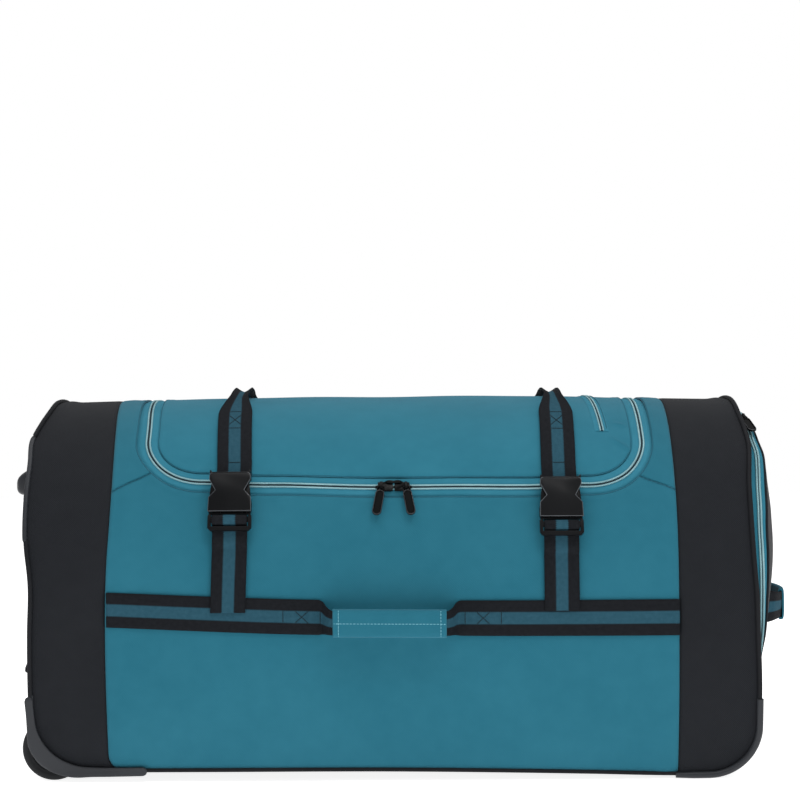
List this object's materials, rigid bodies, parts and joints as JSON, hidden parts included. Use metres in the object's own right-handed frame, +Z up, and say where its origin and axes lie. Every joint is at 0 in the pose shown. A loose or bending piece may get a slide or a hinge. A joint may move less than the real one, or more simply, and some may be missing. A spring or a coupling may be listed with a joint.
{
  "type": "wheeled duffel bag",
  "caption": "Soft arched duffel bag with wheels at one end, a zipped lid, buckled straps, webbing handles and an end pocket.",
  "frame": {"origin": "on the floor under the middle of the bag's box", "axes": "+X along the bag away from the wheels, -Y to the side with the buckles, +Z up"},
  "size_m": [0.8554, 0.428, 0.4187],
  "materials": {
    "teal_cloth": "woven polyester, matte",
    "lid_cloth": "woven polyester, matte",
    "black_cloth": "woven polyester, matte",
    "zip_tape": "woven tape, matte",
    "zip_coil": "satin coil",
    "dark_metal": "satin black",
    "webbing": "ribbed webbing with a teal middle stripe",
    "buckle_plastic": "satin black",
    "moulded_plastic": "fine texture",
    "tyre": "matte",
    "steel": "plain"
  },
  "bodies": {
    "bag": {"near_side_panel": "teal_cloth", "far_side_panel": "teal_cloth", "top_strip_left": "teal_cloth", "top_strip_right": "teal_cloth", "near_grip": "teal_cloth", "end_handle_grip": "teal_cloth", "lid_flap": "lid_cloth", "left_wrap": "black_cloth", "right_wrap": "black_cloth", "left_end_panel": "black_cloth", "right_end_panel": "black_cloth", "base_panel": "black_cloth", "piping_left": "black_cloth", "piping_right": "black_cloth", "piping_base_near": "black_cloth", "piping_base_far": "black_cloth", "end_pocket_panel": "black_cloth", "main_zip_tape_lower": "zip_tape", "main_zip_tape_upper": "zip_tape", "lid_zip_tape": "zip_tape", "end_pocket_zip_band": "zip_tape", "main_zip_coil": "zip_coil", "lid_zip_coil": "zip_coil", "end_pocket_zip_coil": "zip_coil", "main_zip_slider_left": "dark_metal", "main_zip_slider_right": "dark_metal", "lid_zip_slider": "dark_metal", "end_pocket_slider": "dark_metal", "near_webbing": "webbing", "far_webbing": "webbing", "strap_upper_left": "webbing", "strap_upper_right": "webbing", "strap_lower_left": "webbing", "strap_lower_right": "webbing", "end_handle": "webbing", "buckle_top_left": "buckle_plastic", "buckle_top_right": "buckle_plastic", "buckle_base_left": "buckle_plastic", "buckle_base_right": "buckle_plastic", "wheel_housing_near": "moulded_plastic", "wheel_housing_far": "moulded_plastic", "foot_plate_near": "moulded_plastic", "foot_plate_far": "moulded_plastic", "corner_guard_near": "moulded_plastic", "corner_guard_far": "moulded_plastic", "wheel_axle_near": "steel", "wheel_axle_far": "steel"},
    "wheel_near": {"wheel_near_tyre": "tyre", "wheel_near_hub": "moulded_plastic"},
    "wheel_far": {"wheel_far_tyre": "tyre", "wheel_far_hub": "moulded_plastic"},
    "main_pull_left": {"main_zip_pull_left": "dark_metal"},
    "main_pull_right": {"main_zip_pull_right": "dark_metal"},
    "end_pull": {"end_pocket_pull": "dark_metal"}
  },
  "joints": [
    {"name": "wheel_near_spin", "type": "hinge", "parent": "bag", "child": "wheel_near", "pos_m": [-0.3857, -0.13224, 0.034], "axis": [0, 1, 0], "continuous": true},
    {"name": "wheel_far_spin", "type": "hinge", "parent": "bag", "child": "wheel_far", "pos_m": [-0.3857, 0.16176, 0.034], "axis": [0, 1, 0], "continuous": true},
    {"name": "main_pull_left_lift", "type": "hinge", "parent": "bag", "child": "main_pull_left", "pos_m": [-0.03374, -0.16258, 0.31316], "axis": [-0.9848, 0.0902, 0.1486], "range_deg": [0, 150]},
    {"name": "main_pull_right_lift", "type": "hinge", "parent": "bag", "child": "main_pull_right", "pos_m": [-0.00766, -0.16258, 0.31316], "axis": [-0.9848, -0.0902, -0.1486], "range_deg": [0, 150]},
    {"name": "end_pull_lift", "type": "hinge", "parent": "bag", "child": "end_pull", "pos_m": [0.36623, -0.06819, 0.38268], "axis": [-0.9856, -0.0764, 0.1507], "range_deg": [0, 150]}
  ]
}
